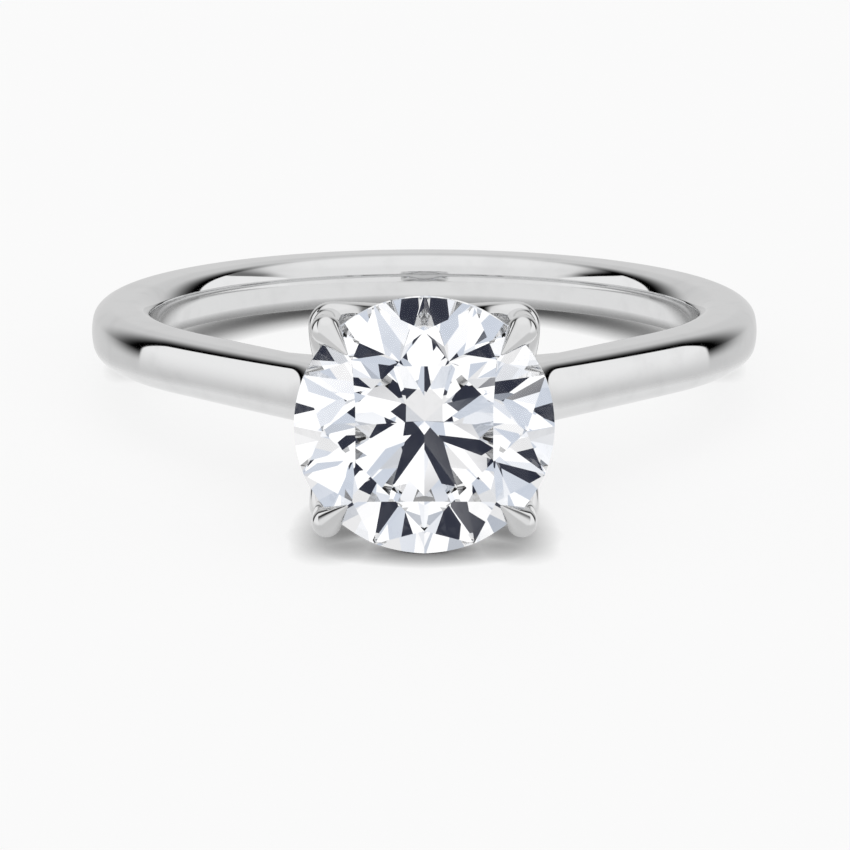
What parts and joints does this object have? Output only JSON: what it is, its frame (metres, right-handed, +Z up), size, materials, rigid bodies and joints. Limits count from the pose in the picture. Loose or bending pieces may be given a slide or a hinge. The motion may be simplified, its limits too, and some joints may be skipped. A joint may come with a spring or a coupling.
{
  "type": "solitaire ring",
  "caption": "Cathedral solitaire finger ring: a round brilliant stone held by pointed claws in a tulip head on a slim polished band.",
  "frame": {"origin": "on the surface the ring lies on, at the middle of its outline", "axes": "the ring lies on its side at rest: +Z up from the surface, -Y towards the stone, +X to the right seen from the stone; the finger axis leans a little from +Z towards +Y"},
  "size_m": [0.0202, 0.0266, 0.0071],
  "materials": {
    "white_metal": "mirror polished white gold",
    "stone": "polished facets"
  },
  "bodies": {
    "root": {"shank_hoop": "white_metal", "shoulder_left": "white_metal", "shoulder_right": "white_metal", "finger_bridge": "white_metal", "collet": "white_metal", "head_peg": "white_metal", "arch_right": "white_metal", "arch_upper": "white_metal", "arch_left": "white_metal", "arch_lower": "white_metal", "claw_upper_right": "white_metal", "claw_upper_left": "white_metal", "claw_lower_left": "white_metal", "claw_lower_right": "white_metal", "centre_stone": "stone"}
  },
  "joints": []
}
